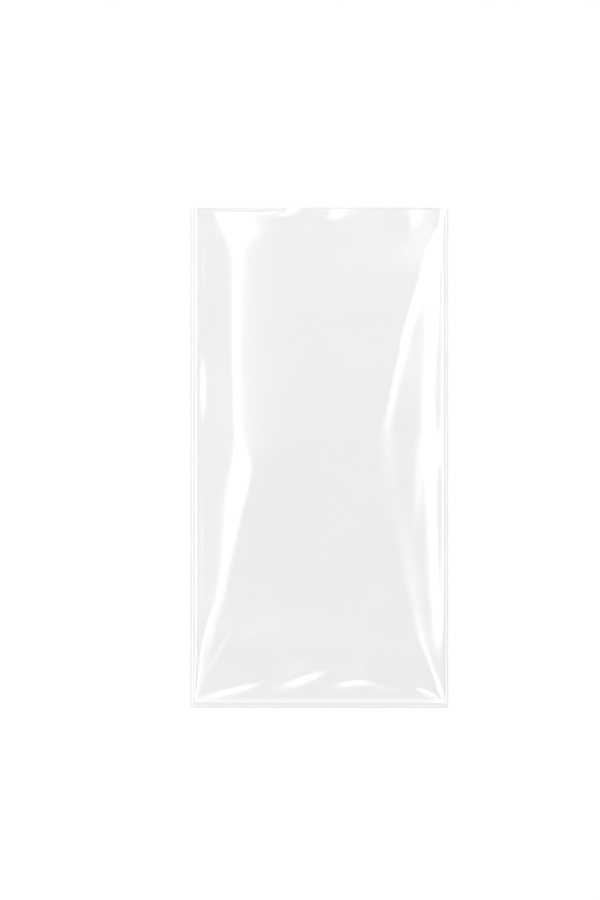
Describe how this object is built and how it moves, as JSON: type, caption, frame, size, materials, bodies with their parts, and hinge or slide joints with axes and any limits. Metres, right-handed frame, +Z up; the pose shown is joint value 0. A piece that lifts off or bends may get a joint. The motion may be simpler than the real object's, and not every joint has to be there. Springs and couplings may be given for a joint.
{
  "type": "cellophane bag",
  "caption": "Clear glossy flat cellophane bag, empty, lying on its back, welded along both sides and the foot, with its mouth a little open.",
  "frame": {"origin": "under the middle of the bag, on the surface it lies on", "axes": "+X across the bag to its right edge, +Y along the bag towards its mouth, +Z up through the front film"},
  "size_m": [0.13, 0.252, 0.0118],
  "materials": {
    "film": "clear, smooth and glossy"
  },
  "bodies": {
    "root": {"bag": "film"}
  },
  "joints": []
}
